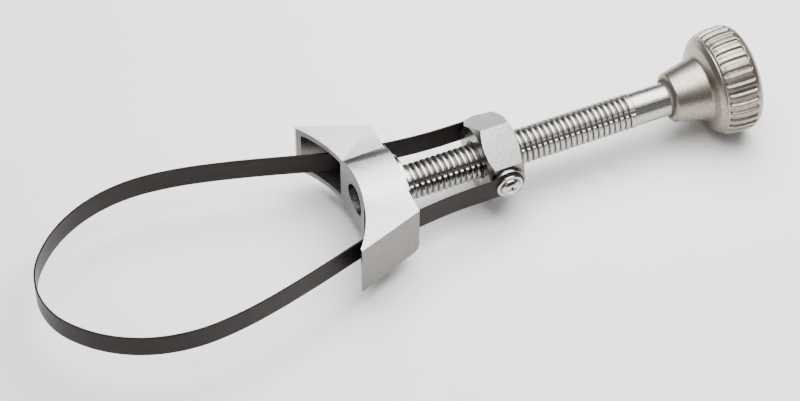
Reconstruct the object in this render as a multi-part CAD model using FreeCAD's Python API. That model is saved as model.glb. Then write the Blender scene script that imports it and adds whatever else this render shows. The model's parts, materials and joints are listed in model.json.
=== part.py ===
"""Band oil filter wrench: a spring steel band pulled round a filter by a screw.

The band's two ends are screwed to a hexagonal carrier nut. The threaded spindle runs through the
nut and is retained in a cast yoke, which rides up the band and pushes its saddle against the filter.

Frame, in millimetres: the origin is the deepest point of the yoke's saddle, on the spindle's axis.
+X runs along the spindle to the knob, +Y is across the band loop and +Z is along the filter's axis.
"Right" is the +Y side and "left" the -Y side, as the hand on the knob sees them.
"""

import FreeCAD
import Part

import math
import os

# Yoke casting
YOKE_BACK_X = 14.0
YOKE_TIP_X = -9.6
YOKE_TIP_Y = 28.7
YOKE_NOSE_WIDTH = 1.0
YOKE_BACK_Y = 20.0
YOKE_FRONT_HALF_HEIGHT = 10.4
YOKE_BACK_HALF_HEIGHT = 9.7
YOKE_BACK_CORNER_RADIUS = 2.5
YOKE_END_WALL = 1.9
BOSS_HALF_WIDTH = 10.0
BOSS_BACK_X = 14.8
BOSS_RADIUS = 11.2
HUMP_FRONT_X = -2.2
HUMP_FOOT_Y = 10.2
HUMP_EDGE_Y = 6.8
HUMP_TOP_Z = 11.4
HUMP_EDGE_Z = 11.0
WINDOW_HALF_HEIGHT = 8.0
COUNTERBORE_RADIUS = 5.5
COUNTERBORE_DEPTH = 6.0

# Spindle, its washers and its retaining ring
THREAD_RADIUS = 6.0
JOURNAL_RADIUS = 4.0
JOURNAL_END_X = 2.0
SHANK_RADIUS = 5.7
THREAD_RUNOUT = 0.6
SPINDLE_END_CHAMFER = 0.5
THREAD_END_X = 98.5
SPIGOT_RADIUS = 5.0
SPIGOT_END_X = 134.5
RUNNING_CLEARANCE = 0.05
END_PLAY = 0.1
THRUST_WASHER_RADIUS = 10.75
THRUST_WASHER_THICKNESS = 1.3
RING_WASHER_RADIUS = 5.2
RING_WASHER_THICKNESS = 0.9
RING_RADIUS = 5.0
RING_THICKNESS = 0.8
RING_GROOVE_RADIUS = 3.4
RING_MOUTH_WIDTH = 4.4
WASHER_BORE_CLEARANCE = 0.1

# Knob
KNOB_FRONT_X = 111.7
KNOB_END_X = 141.2
KNOB_FRONT_RADIUS = 6.0
KNOB_END_RADIUS = 14.8
KNOB_RIM_RADIUS = 18.25
KNOB_RECESS_RADIUS = 12.0
KNOB_RECESS_DEPTH = 1.5
FLUTE_COUNT = 32
FLUTE_RADIUS = 1.1
FLUTE_DEPTH = 0.75
FLUTE_START_X = 128.2
FLUTE_END_X = 138.3
# Between its front and end faces the knob passes through these (x past the front, radius) points.
KNOB_PROFILE = (
    (0.9, 7.4),
    (1.8, 8.5),
    (6.8, 9.7),
    (13.4, 11.2),
    (14.6, 14.0),
    (16.0, 16.2),
    (17.2, 17.3),
    (19.3, 17.9),
    (21.8, KNOB_RIM_RADIUS),
    (25.9, KNOB_RIM_RADIUS),
    (27.8, 17.6),
    (29.1, 16.3),
)

# Carrier nut and the clamp screws
NUT_ACROSS_FLATS = 24.5
NUT_FRONT_X = 42.6
NUT_BACK_X = 55.1
NUT_CHAMFER = 1.6
NUT_CHAMFER_RADIUS = 11.8
NUT_CORNER_MARGIN = 0.01
NUT_PAD_Y = 13.5
NUT_PAD_RADIUS = 5.9
CLAMP_SCREW_X = 48.6
CLAMP_SCREW_RADIUS = 2.5
CLAMP_SCREW_TIP_Y = 7.4
CLAMP_HOLE_SPARE_DEPTH = 0.3
SCREW_FLANGE_RADIUS = 4.65
SCREW_FLANGE_THICKNESS = 0.8
SCREW_FLANGE_EDGE = 0.3
SCREW_DOME_RADIUS = 3.5
SCREW_HEAD_HEIGHT = 2.3
SCREW_RECESS_SPAN = 3.6
SCREW_RECESS_WIDTH = 1.0
SCREW_RECESS_DEPTH = 1.4

# Band. It is one strip, divided into short curved links so that it can flex.
BAND_WIDTH = 8.6
BAND_THICKNESS = 0.6
BAND_FREE_START_X = 38.4
BAND_LINK_LENGTH = 16.7
BAND_LINK_GAP = 0.3
BAND_EYE_RADIUS = 5.2
BAND_LINK_TURNS_DEG = (6.5, 4.0, 7.0, -1.5, -3.0, -8.0, -17.0, -20.0, -22.0)

NUT_HALF_FLATS = NUT_ACROSS_FLATS / 2
NUT_CORNER_RADIUS = NUT_HALF_FLATS / math.cos(math.pi / 6)
BAND_CLAMPED_Y = NUT_PAD_Y + BAND_THICKNESS / 2
THRUST_WASHER_X = BOSS_BACK_X + END_PLAY
SHOULDER_X = THRUST_WASHER_X + THRUST_WASHER_THICKNESS
RING_WASHER_X = COUNTERBORE_DEPTH - END_PLAY - RING_WASHER_THICKNESS
RING_X = RING_WASHER_X - RING_THICKNESS
BEYOND = 5.0

AXIS_X = FreeCAD.Vector(1, 0, 0)
AXIS_Y = FreeCAD.Vector(0, 1, 0)
AXIS_Z = FreeCAD.Vector(0, 0, 1)
ORIGIN = FreeCAD.Vector(0, 0, 0)


def point(x, y, z=0.0):
    return FreeCAD.Vector(x, y, z)


def polygon_face(points):
    return Part.Face(Part.makePolygon(points + points[:1]))


def revolved(profile, axis=AXIS_X):
    """Solid of revolution from (distance along axis, radius) pairs. The axis is X or Y."""
    if axis == AXIS_X:
        points = [point(along, radius) for along, radius in profile]
    else:
        points = [point(radius, along) for along, radius in profile]
    return polygon_face(points).revolve(ORIGIN, axis, 360)


def disc(x, thickness, radius, bore_radius):
    """Flat washer on the spindle's axis."""
    outer = Part.makeCylinder(radius, thickness, point(x, 0), AXIS_X)
    return outer.cut(Part.makeCylinder(bore_radius, thickness, point(x, 0), AXIS_X))


def mirrored(shape):
    """The same piece on the other side of the band loop."""
    return shape.mirror(ORIGIN, AXIS_Y)


def yoke_plan():
    """Trapezoid with a concave saddle and two blunt noses in front, drawn past both faces."""
    height = 2 * (YOKE_FRONT_HALF_HEIGHT + BEYOND)
    saddle_y = YOKE_TIP_Y - YOKE_NOSE_WIDTH
    saddle_left = point(YOKE_TIP_X, -saddle_y)
    saddle_right = point(YOKE_TIP_X, saddle_y)
    sides = [
        saddle_left,
        point(YOKE_TIP_X, -YOKE_TIP_Y),
        point(YOKE_BACK_X, -YOKE_BACK_Y),
        point(YOKE_BACK_X, YOKE_BACK_Y),
        point(YOKE_TIP_X, YOKE_TIP_Y),
        saddle_right,
    ]
    edges = [Part.makeLine(start, end) for start, end in zip(sides, sides[1:])]
    edges.append(Part.Arc(saddle_right, ORIGIN, saddle_left).toShape())
    face = Part.Face(Part.Wire(edges))
    face.translate(-AXIS_Z * height / 2)
    return face.extrude(AXIS_Z * height)


def yoke_side():
    """Side profile with casting draft and a rounded lower back corner, drawn past both ends."""
    radius = YOKE_BACK_CORNER_RADIUS
    slope = (YOKE_FRONT_HALF_HEIGHT - YOKE_BACK_HALF_HEIGHT) / (YOKE_BACK_X - YOKE_TIP_X)
    start = point(YOKE_BACK_X - radius, 0, -YOKE_BACK_HALF_HEIGHT - slope * radius)
    middle = point(
        YOKE_BACK_X - radius * (1 - math.sqrt(0.5)),
        0,
        -YOKE_BACK_HALF_HEIGHT + radius * (1 - math.sqrt(0.5)),
    )
    end = point(YOKE_BACK_X, 0, -YOKE_BACK_HALF_HEIGHT + radius)
    front_top = point(YOKE_TIP_X, 0, YOKE_FRONT_HALF_HEIGHT)
    front_bottom = point(YOKE_TIP_X, 0, -YOKE_FRONT_HALF_HEIGHT)
    back_top = point(YOKE_BACK_X, 0, YOKE_BACK_HALF_HEIGHT)
    edges = [
        Part.makeLine(front_top, front_bottom),
        Part.makeLine(front_bottom, start),
        Part.Arc(start, middle, end).toShape(),
        Part.makeLine(end, back_top),
        Part.makeLine(back_top, front_top),
    ]
    face = Part.Face(Part.Wire(edges))
    face.translate(-AXIS_Y * (YOKE_TIP_Y + BEYOND))
    return face.extrude(AXIS_Y * 2 * (YOKE_TIP_Y + BEYOND))


def yoke_hump():
    """Raised band over the boss, above and below."""
    upper = [
        point(HUMP_FRONT_X, -HUMP_FOOT_Y, 0),
        point(HUMP_FRONT_X, -HUMP_FOOT_Y, YOKE_BACK_HALF_HEIGHT),
        point(HUMP_FRONT_X, -HUMP_EDGE_Y, HUMP_EDGE_Z),
        point(HUMP_FRONT_X, 0, HUMP_TOP_Z),
        point(HUMP_FRONT_X, HUMP_EDGE_Y, HUMP_EDGE_Z),
        point(HUMP_FRONT_X, HUMP_FOOT_Y, YOKE_BACK_HALF_HEIGHT),
        point(HUMP_FRONT_X, HUMP_FOOT_Y, 0),
    ]
    edges = [Part.makeLine(upper[i], upper[i + 1]) for i in (0, 1, 4, 5)]
    edges.append(Part.Arc(upper[2], upper[3], upper[4]).toShape())
    edges.append(Part.makeLine(upper[6], upper[0]))
    face = Part.Face(Part.Wire(Part.__sortEdges__(edges)))
    above = face.extrude(AXIS_X * (BOSS_BACK_X - HUMP_FRONT_X))
    return above.fuse(above.mirror(ORIGIN, AXIS_Z))


def yoke_window():
    """Cavity of the right wing, from the saddle through the back, where the band passes."""
    slope = (YOKE_TIP_Y - YOKE_BACK_Y) / (YOKE_BACK_X - YOKE_TIP_X)
    wall_across = YOKE_END_WALL * math.hypot(1, slope)
    front_x = YOKE_TIP_X - BEYOND
    back_x = YOKE_BACK_X + BEYOND
    front_y = YOKE_TIP_Y - wall_across + slope * BEYOND
    back_y = YOKE_BACK_Y - wall_across - slope * BEYOND
    outline = [
        point(front_x, BOSS_HALF_WIDTH, -WINDOW_HALF_HEIGHT),
        point(front_x, front_y, -WINDOW_HALF_HEIGHT),
        point(back_x, back_y, -WINDOW_HALF_HEIGHT),
        point(back_x, BOSS_HALF_WIDTH, -WINDOW_HALF_HEIGHT),
    ]
    return polygon_face(outline).extrude(AXIS_Z * 2 * WINDOW_HALF_HEIGHT)


def saddle_cutter():
    """Round body of the filter that the saddle fits, which trims the hump's front."""
    saddle_y = YOKE_TIP_Y - YOKE_NOSE_WIDTH
    radius = (saddle_y**2 + YOKE_TIP_X**2) / (2 * -YOKE_TIP_X)
    height = 2 * (HUMP_TOP_Z + BEYOND)
    return Part.makeCylinder(radius, height, point(-radius, 0, -height / 2), AXIS_Z)


def make_yoke():
    body = yoke_plan().common(yoke_side())
    body = body.fuse(yoke_hump())
    boss_length = BOSS_BACK_X - YOKE_BACK_X / 2
    body = body.fuse(Part.makeCylinder(BOSS_RADIUS, boss_length, point(YOKE_BACK_X / 2, 0), AXIS_X))
    body = body.cut(saddle_cutter())
    window = yoke_window()
    body = body.cut(window).cut(mirrored(window))
    bore_radius = JOURNAL_RADIUS + RUNNING_CLEARANCE
    body = body.cut(Part.makeCylinder(bore_radius, BOSS_BACK_X + BEYOND, ORIGIN, AXIS_X))
    counterbore_length = BEYOND + COUNTERBORE_DEPTH
    counterbore = Part.makeCylinder(COUNTERBORE_RADIUS, counterbore_length, point(-BEYOND, 0), AXIS_X)
    return body.cut(counterbore)


def make_spindle():
    profile = [
        (JOURNAL_END_X, 0),
        (JOURNAL_END_X, JOURNAL_RADIUS - SPINDLE_END_CHAMFER),
        (JOURNAL_END_X + SPINDLE_END_CHAMFER, JOURNAL_RADIUS),
        (RING_X, JOURNAL_RADIUS),
        (RING_X, RING_GROOVE_RADIUS),
        (RING_X + RING_THICKNESS, RING_GROOVE_RADIUS),
        (RING_X + RING_THICKNESS, JOURNAL_RADIUS),
        (SHOULDER_X, JOURNAL_RADIUS),
        (SHOULDER_X, THREAD_RADIUS),
        (THREAD_END_X, THREAD_RADIUS),
        (THREAD_END_X + THREAD_RUNOUT, SHANK_RADIUS),
        (KNOB_FRONT_X, SHANK_RADIUS),
        (KNOB_FRONT_X, SPIGOT_RADIUS),
        (SPIGOT_END_X - SPINDLE_END_CHAMFER, SPIGOT_RADIUS),
        (SPIGOT_END_X, SPIGOT_RADIUS - SPINDLE_END_CHAMFER),
        (SPIGOT_END_X, 0),
    ]
    return revolved(profile)


def make_retaining_ring():
    """Open ring snapped into the journal's groove."""
    ring = disc(RING_X, RING_THICKNESS, RING_RADIUS, RING_GROOVE_RADIUS)
    corner = point(RING_X, -RING_MOUTH_WIDTH / 2, -RING_RADIUS - BEYOND)
    mouth = Part.makeBox(RING_THICKNESS, RING_MOUTH_WIDTH, RING_RADIUS + BEYOND, corner)
    return ring.cut(mouth)


def knob_outline():
    """Outside of the knob as (x, radius): hub, dished front, fluted rim and end face."""
    between = [(KNOB_FRONT_X + along, radius) for along, radius in KNOB_PROFILE]
    return [(KNOB_FRONT_X, KNOB_FRONT_RADIUS)] + between + [(KNOB_END_X, KNOB_END_RADIUS)]


def make_knob():
    recess_floor_x = KNOB_END_X - KNOB_RECESS_DEPTH
    profile = [(KNOB_FRONT_X, SPIGOT_RADIUS)] + knob_outline()
    profile += [
        (KNOB_END_X, KNOB_RECESS_RADIUS),
        (recess_floor_x, KNOB_RECESS_RADIUS - KNOB_RECESS_DEPTH),
        (recess_floor_x, 0),
        (SPIGOT_END_X, 0),
        (SPIGOT_END_X, SPIGOT_RADIUS),
    ]
    flute_axis_radius = KNOB_RIM_RADIUS - FLUTE_DEPTH + FLUTE_RADIUS
    flutes = []
    for i in range(FLUTE_COUNT):
        angle = 2 * math.pi * i / FLUTE_COUNT
        start = point(
            FLUTE_START_X, flute_axis_radius * math.cos(angle), flute_axis_radius * math.sin(angle)
        )
        flutes.append(Part.makeCylinder(FLUTE_RADIUS, FLUTE_END_X - FLUTE_START_X, start, AXIS_X))
    return revolved(profile).cut(Part.makeCompound(flutes))


def make_carrier_nut():
    """Chamfered hexagon, bored for the spindle, with a round pad for each band end on a side flat."""
    corners = []
    for i in range(6):
        angle = math.pi / 2 + i * math.pi / 3
        corners.append(
            point(NUT_FRONT_X, NUT_CORNER_RADIUS * math.cos(angle), NUT_CORNER_RADIUS * math.sin(angle))
        )
    prism = polygon_face(corners).extrude(AXIS_X * (NUT_BACK_X - NUT_FRONT_X))
    rim_radius = NUT_CORNER_RADIUS + NUT_CORNER_MARGIN
    barrel = revolved([
        (NUT_FRONT_X, 0),
        (NUT_FRONT_X, NUT_CHAMFER_RADIUS),
        (NUT_FRONT_X + NUT_CHAMFER, rim_radius),
        (NUT_BACK_X - NUT_CHAMFER, rim_radius),
        (NUT_BACK_X, NUT_CHAMFER_RADIUS),
        (NUT_BACK_X, 0),
    ])
    nut = prism.common(barrel)
    centre = point(CLAMP_SCREW_X, 0)
    nut = nut.fuse(Part.makeCylinder(NUT_PAD_RADIUS, 2 * NUT_PAD_Y, centre - AXIS_Y * NUT_PAD_Y, AXIS_Y))
    bore_radius = THREAD_RADIUS + RUNNING_CLEARANCE
    nut = nut.cut(Part.makeCylinder(bore_radius, 2 * NUT_BACK_X, ORIGIN, AXIS_X))
    hole_bottom_y = CLAMP_SCREW_TIP_Y - CLAMP_HOLE_SPARE_DEPTH
    for side in (AXIS_Y, -AXIS_Y):
        start = centre + side * hole_bottom_y
        nut = nut.cut(Part.makeCylinder(CLAMP_SCREW_RADIUS, NUT_PAD_Y, start, side))
    return nut


def make_clamp_screw():
    """Screw with a flanged round head and a cross recess, on the right side."""
    seat_y = NUT_PAD_Y + BAND_THICKNESS
    flange_y = seat_y + SCREW_FLANGE_THICKNESS
    top_y = seat_y + SCREW_HEAD_HEIGHT
    dome_height = top_y - flange_y
    screw = revolved(
        [
            (CLAMP_SCREW_TIP_Y, 0),
            (CLAMP_SCREW_TIP_Y, CLAMP_SCREW_RADIUS),
            (seat_y, CLAMP_SCREW_RADIUS),
            (seat_y, SCREW_FLANGE_RADIUS),
            (flange_y - SCREW_FLANGE_EDGE, SCREW_FLANGE_RADIUS),
            (flange_y, SCREW_FLANGE_RADIUS - SCREW_FLANGE_EDGE),
            (flange_y, SCREW_DOME_RADIUS),
            (flange_y + dome_height / 2, SCREW_DOME_RADIUS),
            (top_y, SCREW_DOME_RADIUS - dome_height / 2),
            (top_y, 0),
        ],
        AXIS_Y,
    )
    span, width = SCREW_RECESS_SPAN, SCREW_RECESS_WIDTH
    for length, height in ((span, width), (width, span)):
        corner = point(-length / 2, top_y - SCREW_RECESS_DEPTH, -height / 2)
        screw = screw.cut(Part.makeBox(length, SCREW_RECESS_DEPTH, height, corner))
    screw.translate(AXIS_X * CLAMP_SCREW_X)
    return screw


def make_band_end():
    """Right end of the band: flat on the nut, with a rounded eye under the clamp screw."""
    start_x = BAND_FREE_START_X + BAND_LINK_GAP / 2
    corner = point(start_x, NUT_PAD_Y, -BAND_WIDTH / 2)
    strap = Part.makeBox(CLAMP_SCREW_X - start_x, BAND_THICKNESS, BAND_WIDTH, corner)
    centre = point(CLAMP_SCREW_X, NUT_PAD_Y)
    eye = Part.makeCylinder(BAND_EYE_RADIUS, BAND_THICKNESS, centre, AXIS_Y)
    hole_radius = CLAMP_SCREW_RADIUS + WASHER_BORE_CLEARANCE
    return strap.fuse(eye).cut(Part.makeCylinder(hole_radius, BAND_THICKNESS, centre, AXIS_Y))


class Link:
    """One arc of the right half band. heading is the angle from -X towards +Y, in radians."""

    def __init__(self, x, y, heading, turn, length):
        self.x = x
        self.y = y
        self.heading = heading
        self.turn = turn
        self.length = length

    def at(self, share, offset=0.0):
        """Point at a share of the length, offset outwards from the band's middle."""
        heading = self.heading + self.turn * share
        radius = self.length / self.turn
        x = self.x - radius * (math.sin(heading) - math.sin(self.heading))
        y = self.y + radius * (math.cos(self.heading) - math.cos(heading))
        return point(x + offset * math.sin(heading), y + offset * math.cos(heading))

    def solid(self):
        trim = BAND_LINK_GAP / 2 / self.length
        half = BAND_THICKNESS / 2
        inner = [self.at(share, -half) for share in (trim, 0.5, 1 - trim)]
        outer = [self.at(share, half) for share in (trim, 0.5, 1 - trim)]
        edges = [
            Part.Arc(*inner).toShape(),
            Part.makeLine(inner[2], outer[2]),
            Part.Arc(*reversed(outer)).toShape(),
            Part.makeLine(outer[0], inner[0]),
        ]
        face = Part.Face(Part.Wire(edges))
        face.translate(-AXIS_Z * BAND_WIDTH / 2)
        return face.extrude(AXIS_Z * BAND_WIDTH)


def band_links():
    """Links from the nut to the middle of the loop. The last one closes the loop square to Y = 0."""
    x, y, heading = BAND_FREE_START_X, BAND_CLAMPED_Y, 0.0
    links = []
    for turn_deg in BAND_LINK_TURNS_DEG:
        link = Link(x, y, heading, math.radians(turn_deg), BAND_LINK_LENGTH)
        links.append(link)
        end = link.at(1.0)
        x, y, heading = end.x, end.y, heading + link.turn
    last_turn = -math.pi / 2 - heading
    last_radius = y / math.cos(heading)
    links.append(Link(x, y, heading, last_turn, last_radius * abs(last_turn)))
    return links


def make_parts():
    journal_bore = JOURNAL_RADIUS + WASHER_BORE_CLEARANCE
    parts = {
        "yoke": make_yoke(),
        "spindle": make_spindle(),
        "thrust_washer": disc(
            THRUST_WASHER_X, THRUST_WASHER_THICKNESS, THRUST_WASHER_RADIUS, journal_bore
        ),
        "retaining_washer": disc(
            RING_WASHER_X, RING_WASHER_THICKNESS, RING_WASHER_RADIUS, journal_bore
        ),
        "retaining_ring": make_retaining_ring(),
        "knob": make_knob(),
        "carrier_nut": make_carrier_nut(),
    }
    paired = {"clamp_screw": make_clamp_screw(), "band_end": make_band_end()}
    for name, right in paired.items():
        parts[f"{name}_right"] = right
        parts[f"{name}_left"] = mirrored(right)
    for number, link in enumerate(band_links(), start=1):
        right = link.solid()
        parts[f"band_right_{number:02d}"] = right
        parts[f"band_left_{number:02d}"] = mirrored(right)
    return parts


os.makedirs("parts", exist_ok=True)
for part_name, shape in make_parts().items():
    shape.exportStep(f"parts/{part_name}.step")
for number, link in enumerate(band_links(), start=1):
    print(f"hinge {number:2d}: x {link.x:9.4f}  y {link.y:8.4f}  length {link.length:.3f}")
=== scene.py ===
"""Looks of the band oil filter wrench, built round its CAD frame.

The frame's origin is the deepest point of the yoke's saddle, +X runs along the spindle to the knob,
+Y is across the band loop and +Z is up. Lengths are in metres; MM turns millimetres into metres.
"""

import json
import math

import bmesh
import bpy
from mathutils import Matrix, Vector


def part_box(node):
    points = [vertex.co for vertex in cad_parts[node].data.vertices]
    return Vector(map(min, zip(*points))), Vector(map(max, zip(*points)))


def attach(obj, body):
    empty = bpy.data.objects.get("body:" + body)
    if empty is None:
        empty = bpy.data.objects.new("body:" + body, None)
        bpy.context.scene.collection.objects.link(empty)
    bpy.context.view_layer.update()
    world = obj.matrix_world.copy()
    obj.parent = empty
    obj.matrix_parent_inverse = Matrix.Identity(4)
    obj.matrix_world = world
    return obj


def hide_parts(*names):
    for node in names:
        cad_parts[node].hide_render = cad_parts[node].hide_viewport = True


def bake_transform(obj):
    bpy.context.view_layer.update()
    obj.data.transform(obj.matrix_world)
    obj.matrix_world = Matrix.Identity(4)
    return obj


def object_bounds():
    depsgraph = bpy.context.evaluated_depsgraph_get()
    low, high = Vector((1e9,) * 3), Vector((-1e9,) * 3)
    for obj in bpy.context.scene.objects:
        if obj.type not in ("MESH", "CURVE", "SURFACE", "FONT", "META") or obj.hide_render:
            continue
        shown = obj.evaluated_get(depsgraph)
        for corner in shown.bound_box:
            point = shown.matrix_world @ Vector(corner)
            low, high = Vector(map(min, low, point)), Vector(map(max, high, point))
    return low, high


MM = 0.001

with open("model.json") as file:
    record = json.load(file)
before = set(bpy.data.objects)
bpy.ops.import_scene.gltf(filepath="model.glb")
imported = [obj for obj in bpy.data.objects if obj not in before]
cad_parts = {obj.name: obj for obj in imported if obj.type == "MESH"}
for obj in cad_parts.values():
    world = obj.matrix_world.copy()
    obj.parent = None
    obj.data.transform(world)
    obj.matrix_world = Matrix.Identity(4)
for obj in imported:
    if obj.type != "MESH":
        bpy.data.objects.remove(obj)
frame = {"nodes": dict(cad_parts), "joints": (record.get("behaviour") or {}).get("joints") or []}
cad_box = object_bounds()

# Camera, from the photograph's viewing angle
CAMERA_TARGET = Vector((13.05, -6.23, 0.28)) * MM
CAMERA_AZIMUTH = math.radians(-23.11)
CAMERA_ELEVATION = math.radians(49.92)
CAMERA_DISTANCE = 1000.0 * MM
CAMERA_LENS_MM = 138.3

# Edges
CAST_EDGE = 0.45 * MM
CUT_EDGE = 0.22 * MM

# Yoke
YOKE_TIP_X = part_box("yoke")[0].x
YOKE_TIP_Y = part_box("yoke")[1].y
YOKE_BOSS_BACK_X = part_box("yoke")[1].x
YOKE_TOP_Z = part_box("yoke")[1].z
YOKE_BACK_X = YOKE_BOSS_BACK_X - 0.8 * MM
YOKE_BACK_Y = 20.0 * MM
YOKE_FRONT_HALF_HEIGHT = 10.4 * MM
YOKE_BACK_HALF_HEIGHT = 9.7 * MM
YOKE_CORNER_RADIUS = 2.5 * MM
YOKE_END_WALL = 1.9 * MM
BOSS_HALF_WIDTH = 10.0 * MM
BOSS_RADIUS = 11.2 * MM
SADDLE_Y = YOKE_TIP_Y - 1.0 * MM
SADDLE_RADIUS = (SADDLE_Y**2 + YOKE_TIP_X**2) / (2 * -YOKE_TIP_X)
SADDLE_SIDES = 192
HUMP_FOOT_Y = 10.2 * MM
HUMP_EDGE_Y = 6.8 * MM
HUMP_EDGE_DROP = 0.4 * MM
WINDOW_HALF_HEIGHT = 8.0 * MM
WINDOW_EDGE = 0.8 * MM
POCKET_RADIUS = 5.5 * MM
POCKET_DEPTH = 6.0 * MM
JOURNAL_BORE_RADIUS = 4.05 * MM

# Spindle
SPINDLE_START_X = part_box("spindle")[0].x
SHOULDER_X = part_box("thrust_washer")[1].x
KNOB_FRONT_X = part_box("knob")[0].x
KNOB_END_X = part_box("knob")[1].x
THREAD_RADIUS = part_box("spindle")[1].z
THREAD_PITCH = 2.0 * MM
THREAD_DEPTH = 1.0 * MM
THREAD_START_X = SHOULDER_X + 1.6 * MM
THREAD_END_X = KNOB_FRONT_X - 13.2 * MM
THREAD_CREST_POWER = 3.0
JOURNAL_RADIUS = 4.0 * MM
SHANK_RADIUS = 5.7 * MM
PARTING_ANGLE = math.radians(139.0)
PARTING_HALF_ANGLE = math.radians(8.0)
PARTING_RADIUS = 5.58 * MM
PARTING_STEP_ANGLE = math.radians(1.6)

# Knob
KNOB_RIM_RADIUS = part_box("knob")[1].z
FLUTE_COUNT = 32
FLUTE_DEPTH = 0.75 * MM
FLUTE_FLOOR_HALF_WIDTH = 0.62 * MM
FLUTE_HALF_WIDTH = 1.12 * MM
FLUTE_START_X = KNOB_END_X - 13.2 * MM
FLUTE_END_X = KNOB_END_X - 2.8 * MM

# Carrier nut and clamp screws
NUT_LOW, NUT_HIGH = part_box("carrier_nut")
NUT_BORE_RADIUS = THREAD_RADIUS + 0.05 * MM
NUT_CHAMFER = 1.6 * MM
NUT_CHAMFER_RADIUS = 11.8 * MM
NUT_PAD_RADIUS = 5.9 * MM
SCREW_LOW, SCREW_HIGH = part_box("clamp_screw_right")
SCREW_X = (SCREW_LOW.x + SCREW_HIGH.x) / 2
SCREW_HEAD_RADIUS = (SCREW_HIGH.x - SCREW_LOW.x) / 2
SCREW_DOME_RADIUS = 3.5 * MM

# Painted shade in grooves: the tint that it multiplies the metal by, and how wide a groove holds it
GROOVE_SHADE = (0.22, 0.18, 0.15)
CASTING_GROOVE_SHADE_REACH = 2.0 * MM
THREAD_GROOVE_SHADE_REACH = 1.0 * MM

# Band
BAND_LOW, BAND_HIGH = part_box("band_end_right")
BAND_THICKNESS = BAND_HIGH.y - BAND_LOW.y
BAND_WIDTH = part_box("band_right_01")[1].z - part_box("band_right_01")[0].z
BAND_EDGE = 0.16 * MM
BAND_STEPS = 36
BAND_EYE_RADIUS = BAND_HIGH.z
BAND_EYE_TIP_ANGLE = math.radians(4.0)
BAND_JOINTS = {
    side: [j for j in frame["joints"] if j["name"].startswith(f"flex_{side}_")]
    for side in ("right", "left")
}


# ---------------------------------------------------------------- mesh helpers


def make_object(name, vertices, faces):
    """Smooth-shaded mesh object, in place."""
    mesh = bpy.data.meshes.new(name)
    mesh.from_pydata([tuple(v) for v in vertices], [], faces)
    mesh.validate()
    obj = bpy.data.objects.new(name, mesh)
    bpy.context.scene.collection.objects.link(obj)
    face_outwards(obj)
    return obj


def face_outwards(obj):
    shape = bmesh.new()
    shape.from_mesh(obj.data)
    bmesh.ops.recalc_face_normals(shape, faces=shape.faces)
    for face in shape.faces:
        face.smooth = True
    shape.to_mesh(obj.data)
    shape.free()


def apply_modifiers(obj):
    """Turns the modified shape into the object's own mesh."""
    graph = bpy.context.evaluated_depsgraph_get()
    mesh = bpy.data.meshes.new_from_object(obj.evaluated_get(graph))
    obj.modifiers.clear()
    obj.data = mesh
    mesh.name = obj.name


def boolean(obj, tool, operation):
    modifier = obj.modifiers.new(operation, "BOOLEAN")
    modifier.operation = operation
    modifier.solver = "EXACT"
    modifier.object = tool
    apply_modifiers(obj)
    bpy.data.objects.remove(tool)


def bevel(obj, width, segments=3, angle=28.0):
    """Rounds the edges sharper than angle, in degrees."""
    modifier = obj.modifiers.new("edges", "BEVEL")
    modifier.width = width
    modifier.segments = segments
    modifier.limit_method = "ANGLE"
    modifier.angle_limit = math.radians(angle)
    modifier.miter_outer = "MITER_ARC"
    apply_modifiers(obj)
    face_outwards(obj)


def keep_flats_flat(obj):
    """Shades each flat face flat up to its rounded edges."""
    modifier = obj.modifiers.new("flats", "WEIGHTED_NORMAL")
    modifier.weight = 60
    apply_modifiers(obj)


def prism(name, outline, axis, low, high):
    """Solid from an outline of 2-D points, extruded along axis "x", "y" or "z" from low to high."""
    place = {
        "x": lambda a, b, along: (along, a, b),
        "y": lambda a, b, along: (a, along, b),
        "z": lambda a, b, along: (a, b, along),
    }[axis]
    count = len(outline)
    vertices = [place(a, b, along) for along in (low, high) for a, b in outline]
    faces = [list(range(count)), list(range(count, 2 * count))]
    for i in range(count):
        after = (i + 1) % count
        faces.append([i, after, count + after, count + i])
    return make_object(name, vertices, faces)


def arc(centre, radius, start, end, count):
    """Points on an arc, from angle start to angle end in radians."""
    points = []
    for i in range(count + 1):
        angle = start + (end - start) * i / count
        points.append((centre[0] + radius * math.cos(angle), centre[1] + radius * math.sin(angle)))
    return points


def rounded(corners, step=math.radians(9.0)):
    """Outline through (a, b, radius) corners, each rounded to its radius."""
    points = []
    for i, (a, b, radius) in enumerate(corners):
        here = Vector((a, b))
        if radius == 0 or i in (0, len(corners) - 1):
            points.append((a, b))
            continue
        before = Vector(corners[i - 1][:2]) - here
        after = Vector(corners[i + 1][:2]) - here
        turn = math.pi - before.angle(after)
        cut = min(radius * math.tan(turn / 2), 0.49 * before.length, 0.49 * after.length)
        start = here + before.normalized() * cut
        end = here + after.normalized() * cut
        count = max(2, math.ceil(turn / step))
        for k in range(count + 1):
            t = k / count
            points.append(tuple(start * (1 - t) ** 2 + here * 2 * t * (1 - t) + end * t**2))
    return points


def lathe(name, profile, segments=128):
    """Surface of revolution about X from (x, radius) points. Ends at radius 0 are closed."""
    vertices, rings = [], []
    for x, radius in profile:
        if radius < 1e-7:
            rings.append([len(vertices)])
            vertices.append((x, 0.0, 0.0))
            continue
        rings.append(list(range(len(vertices), len(vertices) + segments)))
        for i in range(segments):
            angle = 2 * math.pi * i / segments
            vertices.append((x, radius * math.cos(angle), radius * math.sin(angle)))
    return make_object(name, vertices, ring_faces(rings))


def ring_faces(rings):
    """Faces between neighbouring closed rings of vertices. A ring of one vertex is a point."""
    faces = []
    for lower, upper in zip(rings, rings[1:]):
        count = max(len(lower), len(upper))
        for i in range(count):
            after = (i + 1) % count
            face = [lower[i % len(lower)], lower[after % len(lower)]]
            face += [upper[after % len(upper)], upper[i % len(upper)]]
            faces.append(list(dict.fromkeys(face)))
    return [face for face in faces if len(face) > 2]


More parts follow.
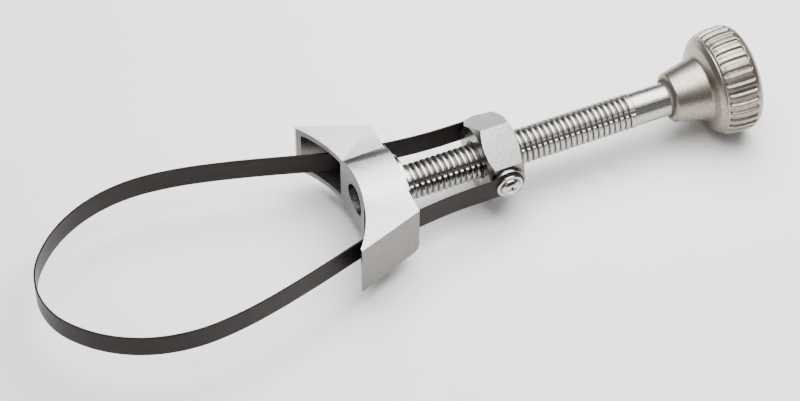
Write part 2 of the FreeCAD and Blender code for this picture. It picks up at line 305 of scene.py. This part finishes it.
def smoothstep(low, high, value):
    t = min(max((value - low) / (high - low), 0.0), 1.0)
    return t * t * (3 - 2 * t)


def turned_to_y(obj, side):
    """Turns a piece made about X so that it stands on Y, outwards on the given side (1 or -1)."""
    for vertex in obj.data.vertices:
        x, y, z = vertex.co
        vertex.co = (y, side * x, z)
    face_outwards(obj)


# ---------------------------------------------------------------- materials


class Nodes:
    """Short way to build a node material."""

    def __init__(self, name):
        self.material = bpy.data.materials.new(name)
        self.material.use_nodes = True
        self.tree = self.material.node_tree
        self.shader = self.tree.nodes["Principled BSDF"]
        coordinates = self.add("ShaderNodeTexCoord")
        self.place = coordinates.outputs["Object"]
        self.facing = coordinates.outputs["Normal"]

    def add(self, kind, inputs=None, **settings):
        node = self.tree.nodes.new(kind)
        for key, value in settings.items():
            setattr(node, key, value)
        for key, value in (inputs or {}).items():
            self.feed(node.inputs[key], value)
        return node

    def feed(self, socket, value):
        if isinstance(value, bpy.types.NodeSocket):
            self.tree.links.new(value, socket)
        else:
            socket.default_value = value

    def noise(self, scale, detail=3.0, stretch=(1.0, 1.0, 1.0), roughness=0.55):
        """Noise between 0 and 1. scale is in features per metre."""
        mapping = self.add("ShaderNodeMapping", {"Vector": self.place, "Scale": stretch})
        node = self.add(
            "ShaderNodeTexNoise",
            {"Vector": mapping.outputs[0], "Scale": scale, "Detail": detail, "Roughness": roughness},
        )
        return node.outputs["Fac"]

    def upright_shade_mask(self):
        """Painted shade mask: 0 on faces turned up or down, 1 on upright faces."""
        normal = self.add("ShaderNodeSeparateXYZ", {"Vector": self.facing}).outputs["Z"]
        level = self.add("ShaderNodeMath", {0: normal}, operation="ABSOLUTE").outputs[0]
        return self.remap(level, 0.35, 0.8, 1.0, 0.0)

    def groove_shade_mask(self, reach):
        """Painted shade mask from ambient occlusion: 0 on open faces, 1 deep in a groove."""
        node = self.add("ShaderNodeAmbientOcclusion", {"Distance": reach}, samples=8)
        return self.remap(node.outputs["AO"], 0.3, 0.85, 1.0, 0.0)

    def ramp(self, value, stops):
        """Colour ramp with (position, colour) stops."""
        node = self.add("ShaderNodeValToRGB", {"Fac": value})
        elements = node.color_ramp.elements
        for i, (position, colour) in enumerate(stops):
            element = elements[i] if i < 2 else elements.new(position)
            element.position = position
            element.color = (*colour, 1.0)
        return node.outputs["Color"]

    def remap(self, value, low, high, to_low, to_high):
        node = self.add(
            "ShaderNodeMapRange",
            {"Value": value, "From Min": low, "From Max": high, "To Min": to_low, "To Max": to_high},
        )
        return node.outputs["Result"]

    def mix(self, share, first, second, blend_type="MIX"):
        node = self.add("ShaderNodeMix", data_type="RGBA", blend_type=blend_type)
        self.feed(node.inputs["Factor"], share)
        self.feed(node.inputs["A"], first)
        self.feed(node.inputs["B"], second)
        return node.outputs["Result"]

    def bump(self, height, strength, distance, normal=None):
        node = self.add("ShaderNodeBump", {"Height": height, "Strength": strength, "Distance": distance})
        if normal is not None:
            self.feed(node.inputs["Normal"], normal)
        return node.outputs["Normal"]

    def finish(self, colour, roughness, metallic, normal=None, **extra):
        self.feed(self.shader.inputs["Base Color"], colour)
        self.feed(self.shader.inputs["Roughness"], roughness)
        self.feed(self.shader.inputs["Metallic"], metallic)
        if normal is not None:
            self.feed(self.shader.inputs["Normal"], normal)
        for key, value in extra.items():
            self.feed(self.shader.inputs[key.replace("_", " ")], value)
        return self.material


def cast_metal(name, dark, light, side, grain_scale, roughness, grain_depth):
    """Die cast metal with fine grain, soft stains and painted shade in its grooves. side is painted shade
    multiplied onto upright faces.
    """
    n = Nodes(name)
    grain = n.noise(grain_scale, 4.0, roughness=0.65)
    stain = n.noise(grain_scale / 16, 3.0)
    colour = n.ramp(grain, [(0.34, dark), (0.66, light)])
    stained = n.mix(n.remap(stain, 0.42, 0.72, 0.0, 0.35), colour, (*dark, 1.0))
    # painted shade: upright faces multiplied by the side colour
    side_shaded = n.mix(n.upright_shade_mask(), stained, (*side, 1.0), "MULTIPLY")
    # painted shade: ambient occlusion darkens grooves by the groove tint
    groove_shaded = n.mix(n.groove_shade_mask(CASTING_GROOVE_SHADE_REACH), side_shaded, (*GROOVE_SHADE, 1.0), "MULTIPLY")
    gloss = n.remap(grain, 0.3, 0.7, roughness + 0.08, roughness - 0.06)
    fine = n.bump(n.noise(grain_scale * 2.2, 2.0), 0.35, grain_depth)
    soft = n.bump(n.noise(grain_scale / 7, 2.0), 0.25, grain_depth * 3, fine)
    return n.finish(groove_shaded, gloss, 1.0, soft)


def screw_metal(name):
    """Bright burnished thread with fine turning lines round it and painted shade in its grooves."""
    n = Nodes(name)
    lines = n.noise(260.0, 3.0, stretch=(14.0, 1.0, 1.0))
    grain = n.noise(1500.0, 3.0)
    colour = n.ramp(grain, [(0.3, (0.34, 0.33, 0.295)), (0.7, (0.48, 0.47, 0.44))])
    gloss = n.remap(lines, 0.3, 0.7, 0.25, 0.35)
    relief = n.bump(lines, 0.12, 0.02 * MM)
    # painted shade: ambient occlusion darkens the thread's grooves
    thread_groove_shaded = n.mix(n.groove_shade_mask(THREAD_GROOVE_SHADE_REACH), colour, (*GROOVE_SHADE, 1.0), "MULTIPLY")
    return n.finish(thread_groove_shaded, gloss, 1.0, n.bump(grain, 0.12, 0.02 * MM, relief))


def band_steel(name):
    """Oxidised spring steel: dark brown film over metal, with rolling marks along the strip."""
    n = Nodes(name)
    streaks = n.noise(60.0, 4.0, stretch=(1.0, 1.0, 38.0))
    cloud = n.noise(90.0, 3.0)
    grain = n.noise(1800.0, 3.0)
    colour = n.ramp(streaks, [(0.3, (0.0075, 0.0050, 0.0044)), (0.7, (0.017, 0.0115, 0.0100))])
    brown = n.mix(n.remap(cloud, 0.4, 0.7, 0.0, 0.5), colour, (0.019, 0.013, 0.011, 1.0))
    gloss = n.remap(streaks, 0.3, 0.7, 0.46, 0.36)
    relief = n.bump(streaks, 0.15, 0.03 * MM)
    normal = n.bump(grain, 0.12, 0.02 * MM, relief)
    return n.finish(brown, gloss, 0.45, normal, Specular_IOR_Level=0.18)


def plated_steel(name, colour, roughness):
    """Bright plating with faint handling marks."""
    n = Nodes(name)
    marks = n.noise(700.0, 4.0)
    tint = n.ramp(marks, [(0.3, tuple(0.88 * c for c in colour)), (0.7, colour)])
    gloss = n.remap(marks, 0.3, 0.7, roughness - 0.03, roughness + 0.07)
    return n.finish(tint, gloss, 1.0, n.bump(marks, 0.08, 0.02 * MM))


# Each side colour below is painted shade multiplied onto upright faces.
MATERIALS = {
    "yoke_casting": cast_metal(
        "yoke cast aluminium",
        dark=(0.32, 0.325, 0.335),
        light=(0.42, 0.43, 0.45),
        side=(0.46, 0.42, 0.375),
        grain_scale=1500.0,
        roughness=0.30,
        grain_depth=0.04 * MM,
    ),
    "knob_casting": cast_metal(
        "knob casting",
        dark=(0.22, 0.195, 0.165),
        light=(0.37, 0.34, 0.30),
        side=(0.95, 0.93, 0.90),
        grain_scale=1300.0,
        roughness=0.36,
        grain_depth=0.04 * MM,
    ),
    "nut_metal": cast_metal(
        "nut aluminium",
        dark=(0.25, 0.245, 0.235),
        light=(0.37, 0.37, 0.375),
        side=(0.60, 0.56, 0.52),
        grain_scale=1500.0,
        roughness=0.24,
        grain_depth=0.03 * MM,
    ),
    "spindle_metal": screw_metal("spindle metal"),
    "band_steel": band_steel("band spring steel"),
    "bright_plating": plated_steel("bright plating", (0.46, 0.455, 0.43), 0.16),
    "spring_clip": plated_steel("plain spring steel", (0.42, 0.41, 0.39), 0.28),
}


def dress(obj, slot):
    obj.data.materials.clear()
    obj.data.materials.append(MATERIALS[slot])


def settle(obj, slot, body, *nodes):
    """Gives a rigid piece its material and its body, and hides the CAD nodes that it stands for."""
    dress(obj, slot)
    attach(obj, body)
    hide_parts(*nodes)


# ---------------------------------------------------------------- yoke


def yoke_block():
    """Trapezoid with a concave saddle, drafted above and below, with its lower back edge rounded."""
    half_angle = math.asin(SADDLE_Y / SADDLE_RADIUS)
    saddle = arc((-SADDLE_RADIUS, 0.0), SADDLE_RADIUS, half_angle, -half_angle, 44)
    plan = [(YOKE_TIP_X, -YOKE_TIP_Y), (YOKE_BACK_X, -YOKE_BACK_Y)]
    plan += [(YOKE_BACK_X, YOKE_BACK_Y), (YOKE_TIP_X, YOKE_TIP_Y)] + saddle
    block = prism("yoke", plan, "z", -2 * YOKE_TOP_Z, 2 * YOKE_TOP_Z)
    corner = YOKE_CORNER_RADIUS
    corner_centre = (YOKE_BACK_X - corner, corner - YOKE_BACK_HALF_HEIGHT)
    side = [
        (YOKE_TIP_X - MM, YOKE_FRONT_HALF_HEIGHT),
        (YOKE_TIP_X - MM, -YOKE_FRONT_HALF_HEIGHT),
        *arc(corner_centre, corner, -math.pi / 2, 0.0, 8),
        (YOKE_BACK_X, YOKE_BACK_HALF_HEIGHT),
        (YOKE_BACK_X + MM, YOKE_BACK_HALF_HEIGHT),
        (YOKE_BACK_X + MM, YOKE_BACK_HALF_HEIGHT + 0.01 * MM),
    ]
    boolean(block, prism("side", side, "y", -2 * YOKE_TIP_Y, 2 * YOKE_TIP_Y), "INTERSECT")
    return block


def yoke_hump():
    """Raised band over the boss, above and below, with its front trimmed by the saddle."""
    radius = (HUMP_EDGE_Y**2 + HUMP_EDGE_DROP**2) / (2 * HUMP_EDGE_DROP)
    half_angle = math.asin(HUMP_EDGE_Y / radius)
    up = math.pi / 2
    top = arc((0.0, YOKE_TOP_Z - radius), radius, up + half_angle, up - half_angle, 8)
    foot_z = YOKE_BACK_HALF_HEIGHT - 0.3 * MM
    foot_y = HUMP_FOOT_Y + 0.3 * MM
    upper = [(-foot_y, foot_z), *top, (foot_y, foot_z)]
    lower = [(-y, -z) for y, z in upper]
    return prism("hump", upper + lower, "x", -3.0 * MM, YOKE_BOSS_BACK_X)


def yoke_window(side):
    """Cavity of one wing, where the band passes."""
    slope = (YOKE_TIP_Y - YOKE_BACK_Y) / (YOKE_BACK_X - YOKE_TIP_X)
    wall = YOKE_END_WALL * math.hypot(1.0, slope)
    past = 6.0 * MM
    outline = [
        (YOKE_TIP_X - past, side * BOSS_HALF_WIDTH),
        (YOKE_TIP_X - past, side * (YOKE_TIP_Y - wall + slope * past)),
        (YOKE_BACK_X + past, side * (YOKE_BACK_Y - wall - slope * past)),
        (YOKE_BACK_X + past, side * BOSS_HALF_WIDTH),
    ]
    window = prism("window", outline, "z", -WINDOW_HALF_HEIGHT, WINDOW_HALF_HEIGHT)
    bevel(window, WINDOW_EDGE, 3, 60.0)
    return window


def make_yoke():
    yoke = yoke_block()
    boolean(yoke, yoke_hump(), "UNION")
    boss = [(YOKE_BACK_X - 6.0 * MM, 0.0), (YOKE_BACK_X - 6.0 * MM, BOSS_RADIUS)]
    boss += [(YOKE_BOSS_BACK_X, BOSS_RADIUS), (YOKE_BOSS_BACK_X, 0.0)]
    boolean(yoke, lathe("boss", boss, 72), "UNION")
    last = SADDLE_SIDES - 1
    filter_round = arc((-SADDLE_RADIUS, 0.0), SADDLE_RADIUS, 0.0, 2 * math.pi * last / SADDLE_SIDES, last)
    boolean(yoke, prism("saddle", filter_round, "z", -20 * MM, 20 * MM), "DIFFERENCE")
    for side in (1, -1):
        boolean(yoke, yoke_window(side), "DIFFERENCE")
    pocket = [(-9.0 * MM, 0.0), (-9.0 * MM, POCKET_RADIUS), (POCKET_DEPTH, POCKET_RADIUS)]
    pocket += [(POCKET_DEPTH, JOURNAL_BORE_RADIUS), (YOKE_BOSS_BACK_X + MM, JOURNAL_BORE_RADIUS)]
    pocket += [(YOKE_BOSS_BACK_X + MM, 0.0)]
    boolean(yoke, lathe("pocket", pocket, 64), "DIFFERENCE")
    bevel(yoke, CAST_EDGE)
    keep_flats_flat(yoke)
    settle(yoke, "yoke_casting", "yoke", "yoke")


# ---------------------------------------------------------------- spindle


def parting_radius(angle, radius, half_angle):
    """Radius trimmed by the two flats along the mould's parting line."""
    for centre in (PARTING_ANGLE, PARTING_ANGLE + math.pi):
        off = abs((angle - centre + math.pi) % (2 * math.pi) - math.pi)
        share = 1 - smoothstep(half_angle - PARTING_STEP_ANGLE, half_angle, off)
        radius = min(radius, radius + (PARTING_RADIUS - radius) * share)
    return radius


def thread_radius(x, angle):
    """Round-crested right-hand thread that fades out at both ends."""
    turns = (x / THREAD_PITCH - angle / (2 * math.pi)) % 1.0
    groove = abs(2 * turns - 1.0) ** THREAD_CREST_POWER
    run_in = smoothstep(THREAD_START_X, THREAD_START_X + THREAD_PITCH, x)
    run_out = 1 - smoothstep(THREAD_END_X - 0.5 * THREAD_PITCH, THREAD_END_X, x)
    return THREAD_RADIUS - THREAD_DEPTH * groove * run_in * run_out


def make_spindle():
    """The thread's rows of vertices follow its helix, so that crests and roots stay clean."""
    columns, rows_per_turn = 128, 14
    step = THREAD_PITCH / rows_per_turn
    count = math.ceil((THREAD_END_X - THREAD_START_X) / step)
    vertices, index = [], {}
    first = math.floor(THREAD_START_X / step) - rows_per_turn

    def vertex(row, column):
        """Vertex number at this row of the helix. A full turn moves on by rows_per_turn rows."""
        row += rows_per_turn * (column // columns)
        column %= columns
        angle = 2 * math.pi * column / columns
        x = (first + row) * step + THREAD_PITCH * column / columns
        x = min(max(x, THREAD_START_X), THREAD_END_X)
        key = (round(x / (0.001 * MM)), column)
        if key not in index:
            radius = parting_radius(angle, thread_radius(x, angle), PARTING_HALF_ANGLE)
            index[key] = len(vertices)
            vertices.append((x, radius * math.cos(angle), radius * math.sin(angle)))
        return index[key]

    faces = []
    for row in range(count + 2 * rows_per_turn):
        for column in range(columns):
            face = [vertex(row, column), vertex(row, column + 1)]
            face += [vertex(row + 1, column + 1), vertex(row + 1, column)]
            face = list(dict.fromkeys(face))
            if len(face) > 2:
                faces.append(face)
    thread = make_object("spindle", vertices, faces)
    settle(thread, "spindle_metal", "spindle", "spindle")
    make_spindle_ends(columns)


def make_spindle_ends(columns):
    """Journal with its shoulder, and the plain shank that the knob is fixed on."""
    edge = 0.3 * MM
    journal = rounded([
        (SPINDLE_START_X, 0.0, 0.0),
        (SPINDLE_START_X, JOURNAL_RADIUS, 2 * edge),
        (SHOULDER_X, JOURNAL_RADIUS, 0.0),
        (SHOULDER_X, THREAD_RADIUS, edge),
        (THREAD_START_X, THREAD_RADIUS, 0.0),
    ])
    shank_end = KNOB_FRONT_X + 2.0 * MM
    shank = rounded([
        (THREAD_END_X, THREAD_RADIUS, 0.0),
        (THREAD_END_X + 0.35 * MM, THREAD_RADIUS, edge),
        (THREAD_END_X + 0.6 * MM, SHANK_RADIUS, edge / 2),
        (shank_end - MM, SHANK_RADIUS, 0.0),
        (shank_end, SHANK_RADIUS, 0.0),
        (shank_end, 0.0, 0.0),
    ])
    for name, profile in (("spindle_journal", journal), ("spindle_shank", shank)):
        piece = lathe(name, profile, columns)
        for vertex in piece.data.vertices:
            radius = math.hypot(vertex.co.y, vertex.co.z)
            if radius > PARTING_RADIUS:
                angle = math.atan2(vertex.co.z, vertex.co.y)
                share = parting_radius(angle, radius, PARTING_HALF_ANGLE) / radius
                vertex.co.y *= share
                vertex.co.z *= share
        keep_flats_flat(piece)
        settle(piece, "spindle_metal", "spindle", "spindle")


# ---------------------------------------------------------------- knob


def knob_profile():
    """Outside of the knob from the shank to the end face."""
    front, end, rim = KNOB_FRONT_X, KNOB_END_X, KNOB_RIM_RADIUS
    return rounded([
        (front + 0.1 * MM, SHANK_RADIUS - 0.05 * MM, 0.0),
        (front + 0.3 * MM, SHANK_RADIUS + 0.3 * MM, 0.3 * MM),
        (front + 1.7 * MM, 8.45 * MM, 0.7 * MM),
        (front + 6.8 * MM, 9.65 * MM, 6.0 * MM),
        (front + 13.2 * MM, 11.1 * MM, 1.2 * MM),
        (front + 14.2 * MM, 14.4 * MM, 2.2 * MM),
        (front + 15.6 * MM, 16.2 * MM, 0.8 * MM),
        (front + 16.0 * MM, 16.15 * MM, 0.25 * MM),
        (front + 16.4 * MM, 16.8 * MM, 0.5 * MM),
        (front + 18.3 * MM, 17.7 * MM, 3.0 * MM),
        (front + 21.8 * MM, rim, 4.0 * MM),
        (end - 3.4 * MM, rim, 3.0 * MM),
        (end - 1.7 * MM, rim - 0.65 * MM, 1.6 * MM),
        (end - 0.4 * MM, 16.1 * MM, 1.0 * MM),
        (end, 14.4 * MM, 0.6 * MM),
        (end, 12.2 * MM, 0.6 * MM),
        (end - 1.45 * MM, 10.6 * MM, 0.9 * MM),
        (end - 1.45 * MM, 0.0, 0.0),
    ])


def flute_cut(x, angle):
    """Depth of the flutes at a place on the rim. Each flute is a slot with round ends."""
    pitch = 2 * math.pi / FLUTE_COUNT
    across = abs((angle + pitch / 2) % pitch - pitch / 2) * KNOB_RIM_RADIUS
    reach = FLUTE_HALF_WIDTH
    past = max(FLUTE_START_X + reach - x, x - FLUTE_END_X + reach, 0.0)
    off = math.hypot(across, past)
    return FLUTE_DEPTH * (1 - smoothstep(FLUTE_FLOOR_HALF_WIDTH, FLUTE_HALF_WIDTH, off))


def make_knob():
    """Fine grid on the fluted rim, coarser elsewhere."""
    columns = FLUTE_COUNT * 16
    stations = []
    for (x, radius), (next_x, next_radius) in zip(knob_profile(), knob_profile()[1:]):
        stations.append((x, radius))
        inside = x < FLUTE_END_X + MM and next_x > FLUTE_START_X - MM and radius > 0.9 * KNOB_RIM_RADIUS
        pieces = math.ceil((next_x - x) / (0.2 * MM)) if inside else 1
        for k in range(1, pieces):
            share = k / pieces
            stations.append((x + (next_x - x) * share, radius + (next_radius - radius) * share))
    stations.append(knob_profile()[-1])
    knob = lathe("knob", stations, columns)
    for vertex in knob.data.vertices:
        radius = math.hypot(vertex.co.y, vertex.co.z)
        if radius > 0.9 * KNOB_RIM_RADIUS:
            angle = math.atan2(vertex.co.z, vertex.co.y)
            share = 1 - flute_cut(vertex.co.x, angle) / radius
            vertex.co.y *= share
            vertex.co.z *= share
    settle(knob, "knob_casting", "spindle", "knob")


# ---------------------------------------------------------------- nut, screws and washers


def make_carrier_nut():
    radius = NUT_HIGH.z
    corners = arc((0.0, 0.0), radius, math.pi / 2, math.pi / 2 + 2 * math.pi * 5 / 6, 5)
    nut = prism("carrier_nut", corners, "x", NUT_LOW.x, NUT_HIGH.x)
    past = radius + MM
    slope = (radius - NUT_CHAMFER_RADIUS) / NUT_CHAMFER
    past_x = (past - NUT_CHAMFER_RADIUS) / slope
    barrel = lathe("barrel", [
        (NUT_LOW.x - 0.01 * MM, 0.0),
        (NUT_LOW.x - 0.01 * MM, NUT_CHAMFER_RADIUS),
        (NUT_LOW.x + past_x, past),
        (NUT_HIGH.x - past_x, past),
        (NUT_HIGH.x + 0.01 * MM, NUT_CHAMFER_RADIUS),
        (NUT_HIGH.x + 0.01 * MM, 0.0),
    ], 144)
    boolean(nut, barrel, "INTERSECT")
    pad = NUT_HIGH.y
    pads = lathe("pads", [(-pad, 0.0), (-pad, NUT_PAD_RADIUS), (pad, NUT_PAD_RADIUS), (pad, 0.0)], 96)
    turned_to_y(pads, 1)
    for vertex in pads.data.vertices:
        vertex.co.x += SCREW_X
    boolean(nut, pads, "UNION")
    mouth = NUT_BORE_RADIUS + 1.1 * MM
    bore = lathe("bore", [
        (NUT_LOW.x - MM, 0.0),
        (NUT_LOW.x - MM, mouth),
        (NUT_LOW.x, mouth),
        (NUT_LOW.x + 1.1 * MM, NUT_BORE_RADIUS),
        (NUT_HIGH.x - 1.1 * MM, NUT_BORE_RADIUS),
        (NUT_HIGH.x, mouth),
        (NUT_HIGH.x + MM, mouth),
        (NUT_HIGH.x + MM, 0.0),
    ], 96)
    boolean(nut, bore, "DIFFERENCE")
    bevel(nut, CUT_EDGE, 3, 12.0)
    keep_flats_flat(nut)
    settle(nut, "nut_metal", "carrier", "carrier_nut")


def cross_cutter(top, span):
    """Tapered cross recess, open at x = top."""
    depth = 1.5 * MM
    cutters = []
    for along, across in ((0, 1), (1, 0)):
        vertices = []
        for x, half_span, half_width in ((top + MM, span, 0.55 * MM), (top - depth, 0.4 * span, 0.3 * MM)):
            for a, b in ((-1, -1), (1, -1), (1, 1), (-1, 1)):
                size = (a * half_span, b * half_width)
                vertices.append((x, size[along], size[across]))
        faces = [[0, 1, 2, 3], [4, 5, 6, 7]]
        faces += [[i, (i + 1) % 4, 4 + (i + 1) % 4, 4 + i] for i in range(4)]
        cutters.append(make_object("cross", vertices, faces))
    return cutters


def make_clamp_screw(name, side):
    """Flanged round head with a cross recess, standing on the band's eye."""
    seat = BAND_HIGH.y
    top = SCREW_HIGH.y
    radius = SCREW_HEAD_RADIUS
    dome = SCREW_DOME_RADIUS
    screw = lathe(name, rounded([
        (seat - 0.4 * MM, 0.0, 0.0),
        (seat - 0.4 * MM, 0.52 * radius, 0.0),
        (seat, 0.52 * radius, 0.0),
        (seat, 0.97 * radius, 0.1 * MM),
        (seat + 0.25 * MM, radius, 0.2 * MM),
        (seat + 0.7 * MM, 0.96 * radius, 0.35 * MM),
        (seat + 0.78 * MM, dome + 0.15 * MM, 0.1 * MM),
        (seat + 0.45 * MM, dome + 0.02 * MM, 0.1 * MM),
        (seat + 0.5 * MM, dome, 0.05 * MM),
        (top - 0.9 * MM, 0.96 * dome, 0.8 * MM),
        (top - 0.1 * MM, 0.62 * dome, 1.4 * MM),
        (top, 0.0, 0.0),
    ]), 96)
    for cutter in cross_cutter(top, 0.55 * dome):
        boolean(screw, cutter, "DIFFERENCE")
    bevel(screw, 0.08 * MM, 2, 35.0)
    keep_flats_flat(screw)
    turned_to_y(screw, side)
    for vertex in screw.data.vertices:
        vertex.co.x += SCREW_X
    keep_flats_flat(screw)
    settle(screw, "bright_plating", "carrier", name)


def make_thrust_washer():
    low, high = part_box("thrust_washer")
    edge = 0.35 * MM
    inner = JOURNAL_RADIUS + 0.1 * MM
    washer = lathe("thrust_washer", rounded([
        (low.x, inner, 0.0),
        (low.x, high.z, edge),
        (high.x, high.z, edge),
        (high.x, inner, 0.0),
    ]) + [(low.x, inner)], 128)
    keep_flats_flat(washer)
    settle(washer, "bright_plating", "spindle", "thrust_washer")


# ---------------------------------------------------------------- band


def band_links(side):
    """Arcs of one half of the band at rest: start, heading, turn and length of each.

    The arcs run through the frame's hinges, each tangent to the one before. heading is the angle
    from -X outwards. The last arc ends square to the middle plane.
    """
    sign = 1 if side == "right" else -1
    starts = [Vector((j["pos_m"][0], sign * j["pos_m"][1])) for j in BAND_JOINTS[side]]
    heading = 0.0
    links = []
    for start, end in zip(starts, starts[1:]):
        chord = end - start
        turn = 2 * (math.atan2(chord.y, -chord.x) - heading)
        length = chord.length * (turn / 2) / math.sin(turn / 2)
        links.append((start, heading, turn, length))
        heading += turn
    turn = -math.pi / 2 - heading
    last = starts[-1]
    links.append((last, heading, turn, abs(turn) * last.y / math.cos(heading)))
    return links


def on_link(link, share):
    """Point and heading at a share of a link's length."""
    start, heading, turn, length = link
    now = heading + turn * share
    radius = length / turn
    x = start.x - radius * (math.sin(now) - math.sin(heading))
    y = start.y + radius * (math.cos(heading) - math.cos(now))
    return Vector((x, y)), now


def band_section():
    """Closed outline of the strip's section as (offset, height share) with rounded corners."""
    half_width = BAND_WIDTH / 2
    half_thick = BAND_THICKNESS / 2
    points = []
    for a, b in ((1, 1), (-1, 1), (-1, -1), (1, -1)):
        centre = (a * (half_thick - BAND_EDGE), b * (half_width - BAND_EDGE))
        start = {(1, 1): 0.0, (-1, 1): 90.0, (-1, -1): 180.0, (1, -1): 270.0}[(a, b)]
        corner = arc(centre, BAND_EDGE, math.radians(start), math.radians(start + 90), 4)
        if a == b:
            corner.insert(0, (a * half_thick, b * (half_width - 2 * BAND_EDGE)))
        else:
            corner.append((a * half_thick, b * (half_width - 2 * BAND_EDGE)))
        points += corner
    return points


def band_piece(name, side, stations, cap_start=False):
    """Strip through stations of (point, heading, half width). Half widths scale its section."""
    sign = 1 if side == "right" else -1
    section = band_section()
    vertices, rings = [], []
    for place, heading, half_width in stations:
        rings.append(list(range(len(vertices), len(vertices) + len(section))))
        outward = Vector((math.sin(heading), math.cos(heading)))
        for offset, height in section:
            spot = place + outward * offset
            vertices.append((spot.x, sign * spot.y, height * 2 * half_width / BAND_WIDTH))
    faces = ring_faces(rings)
    if cap_start:
        faces.append(list(reversed(rings[0])))
    piece = make_object(name, vertices, faces)
    dress(piece, "band_steel")
    return piece


def band_end_stations():
    """From the rounded tip behind the clamp screw to the nut's front face."""
    y = (BAND_LOW.y + BAND_HIGH.y) / 2
    reach = math.sqrt(BAND_EYE_RADIUS**2 - (BAND_WIDTH / 2) ** 2)
    start = math.acos(-reach / BAND_EYE_RADIUS)
    stations = []
    count = 28
    for i in range(count + 1):
        angle = BAND_EYE_TIP_ANGLE + (start - BAND_EYE_TIP_ANGLE) * i / count
        x = SCREW_X + BAND_EYE_RADIUS * math.cos(angle)
        stations.append((Vector((x, y)), 0.0, BAND_EYE_RADIUS * math.sin(angle)))
    stations.append((Vector((NUT_LOW.x, y)), 0.0, BAND_WIDTH / 2))
    return stations


def make_band(side):
    links = band_links(side)
    bodies = ["carrier"] + [j["child"] for j in BAND_JOINTS[side]]
    half_width = BAND_WIDTH / 2
    end = band_piece(f"band_end_{side}", side, band_end_stations(), cap_start=True)
    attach(end, "carrier")
    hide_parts(f"band_end_{side}")
    for number, link in enumerate(links):
        if number == 0:
            y = links[0][0].y
            lead = NUT_LOW.x - links[0][0].x
            before = [
                (Vector((NUT_LOW.x - lead * i / 8, y)), 0.0, half_width) for i in range(8)
            ]
        else:
            before = [
                (*on_link(links[number - 1], 0.5 + 0.5 * i / BAND_STEPS), half_width)
                for i in range(BAND_STEPS)
            ]
        after = [(*on_link(link, 0.5 * i / BAND_STEPS), half_width) for i in range(BAND_STEPS + 1)]
        stations = before + after
        piece = band_piece(f"band_{side}_bend_{number + 1:02d}", side, stations)
        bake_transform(piece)
        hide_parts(bodies[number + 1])
    stations = [(*on_link(links[-1], 0.5 + 0.5 * i / BAND_STEPS), half_width) for i in range(BAND_STEPS + 1)]
    tip = band_piece(f"band_{side}_crown", side, stations)
    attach(tip, bodies[-1])
    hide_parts(bodies[-1])


# ---------------------------------------------------------------- studio


def make_camera():
    data = bpy.data.cameras.new("camera")
    data.lens = CAMERA_LENS_MM
    data.clip_start = 10.0 * MM
    data.clip_end = 20.0
    camera = bpy.data.objects.new("camera", data)
    bpy.context.scene.collection.objects.link(camera)
    towards = Vector((
        math.sin(CAMERA_AZIMUTH) * math.cos(CAMERA_ELEVATION),
        -math.cos(CAMERA_AZIMUTH) * math.cos(CAMERA_ELEVATION),
        math.sin(CAMERA_ELEVATION),
    ))
    camera.location = CAMERA_TARGET + towards * CAMERA_DISTANCE
    camera.rotation_euler = towards.to_track_quat("Z", "Y").to_euler()
    bpy.context.scene.camera = camera


def make_light(name, place, target, width, height, power, colour=(1.0, 1.0, 1.0)):
    data = bpy.data.lights.new(name, "AREA")
    data.shape = "RECTANGLE"
    data.size = width
    data.size_y = height
    data.energy = power
    data.color = colour
    light = bpy.data.objects.new(name, data)
    bpy.context.scene.collection.objects.link(light)
    light.location = place
    light.rotation_euler = (Vector(place) - Vector(target)).to_track_quat("Z", "Y").to_euler()


def make_world():
    """Plain grey studio, brighter overhead than at the horizon."""
    world = bpy.data.worlds.new("studio")
    world.use_nodes = True
    bpy.context.scene.world = world
    tree = world.node_tree
    place = tree.nodes.new("ShaderNodeTexCoord")
    split = tree.nodes.new("ShaderNodeSeparateXYZ")
    ramp = tree.nodes.new("ShaderNodeValToRGB")
    tree.links.new(place.outputs["Generated"], split.inputs[0])
    tree.links.new(split.outputs["Z"], ramp.inputs["Fac"])
    stops = [(0.0, 0.06), (0.35, 0.10), (0.8, 0.55)]
    for i, (position, level) in enumerate(stops):
        elements = ramp.color_ramp.elements
        element = elements[i] if i < 2 else elements.new(position)
        element.position = position
        element.color = (level, level, level, 1.0)
    background = tree.nodes["Background"]
    tree.links.new(ramp.outputs["Color"], background.inputs["Color"])
    background.inputs["Strength"].default_value = 0.9


def make_floor():
    size = 3.0
    level = cad_box[0].z
    corners = [(-size, -size), (size, -size), (size, size), (-size, size)]
    floor = make_object("floor", [(x, y, level) for x, y in corners], [[0, 1, 2, 3]])
    n = Nodes("floor paper")
    tone = n.ramp(n.noise(40.0, 2.0), [(0.3, (0.90, 0.90, 0.90)), (0.7, (0.92, 0.92, 0.92))])
    floor.data.materials.append(n.finish(tone, 0.9, 0.0))


make_camera()
make_world()
make_floor()
make_light("overhead", (0.14, 0.07, 0.42), (0.06, 0.02, 0.0), 0.46, 0.56, 8.0)
make_light("front fill", (-0.55, -0.75, 0.45), (0.0, 0.0, 0.0), 0.35, 0.35, 0.6)

make_yoke()
make_spindle()
make_knob()
make_carrier_nut()
for screw_name, screw_side in (("clamp_screw_right", 1), ("clamp_screw_left", -1)):
    make_clamp_screw(screw_name, screw_side)
make_thrust_washer()
for band_side in ("right", "left"):
    make_band(band_side)
for node, slot_name in (("retaining_ring", "spring_clip"), ("retaining_washer", "bright_plating")):
    dress(frame["nodes"][node], slot_name)
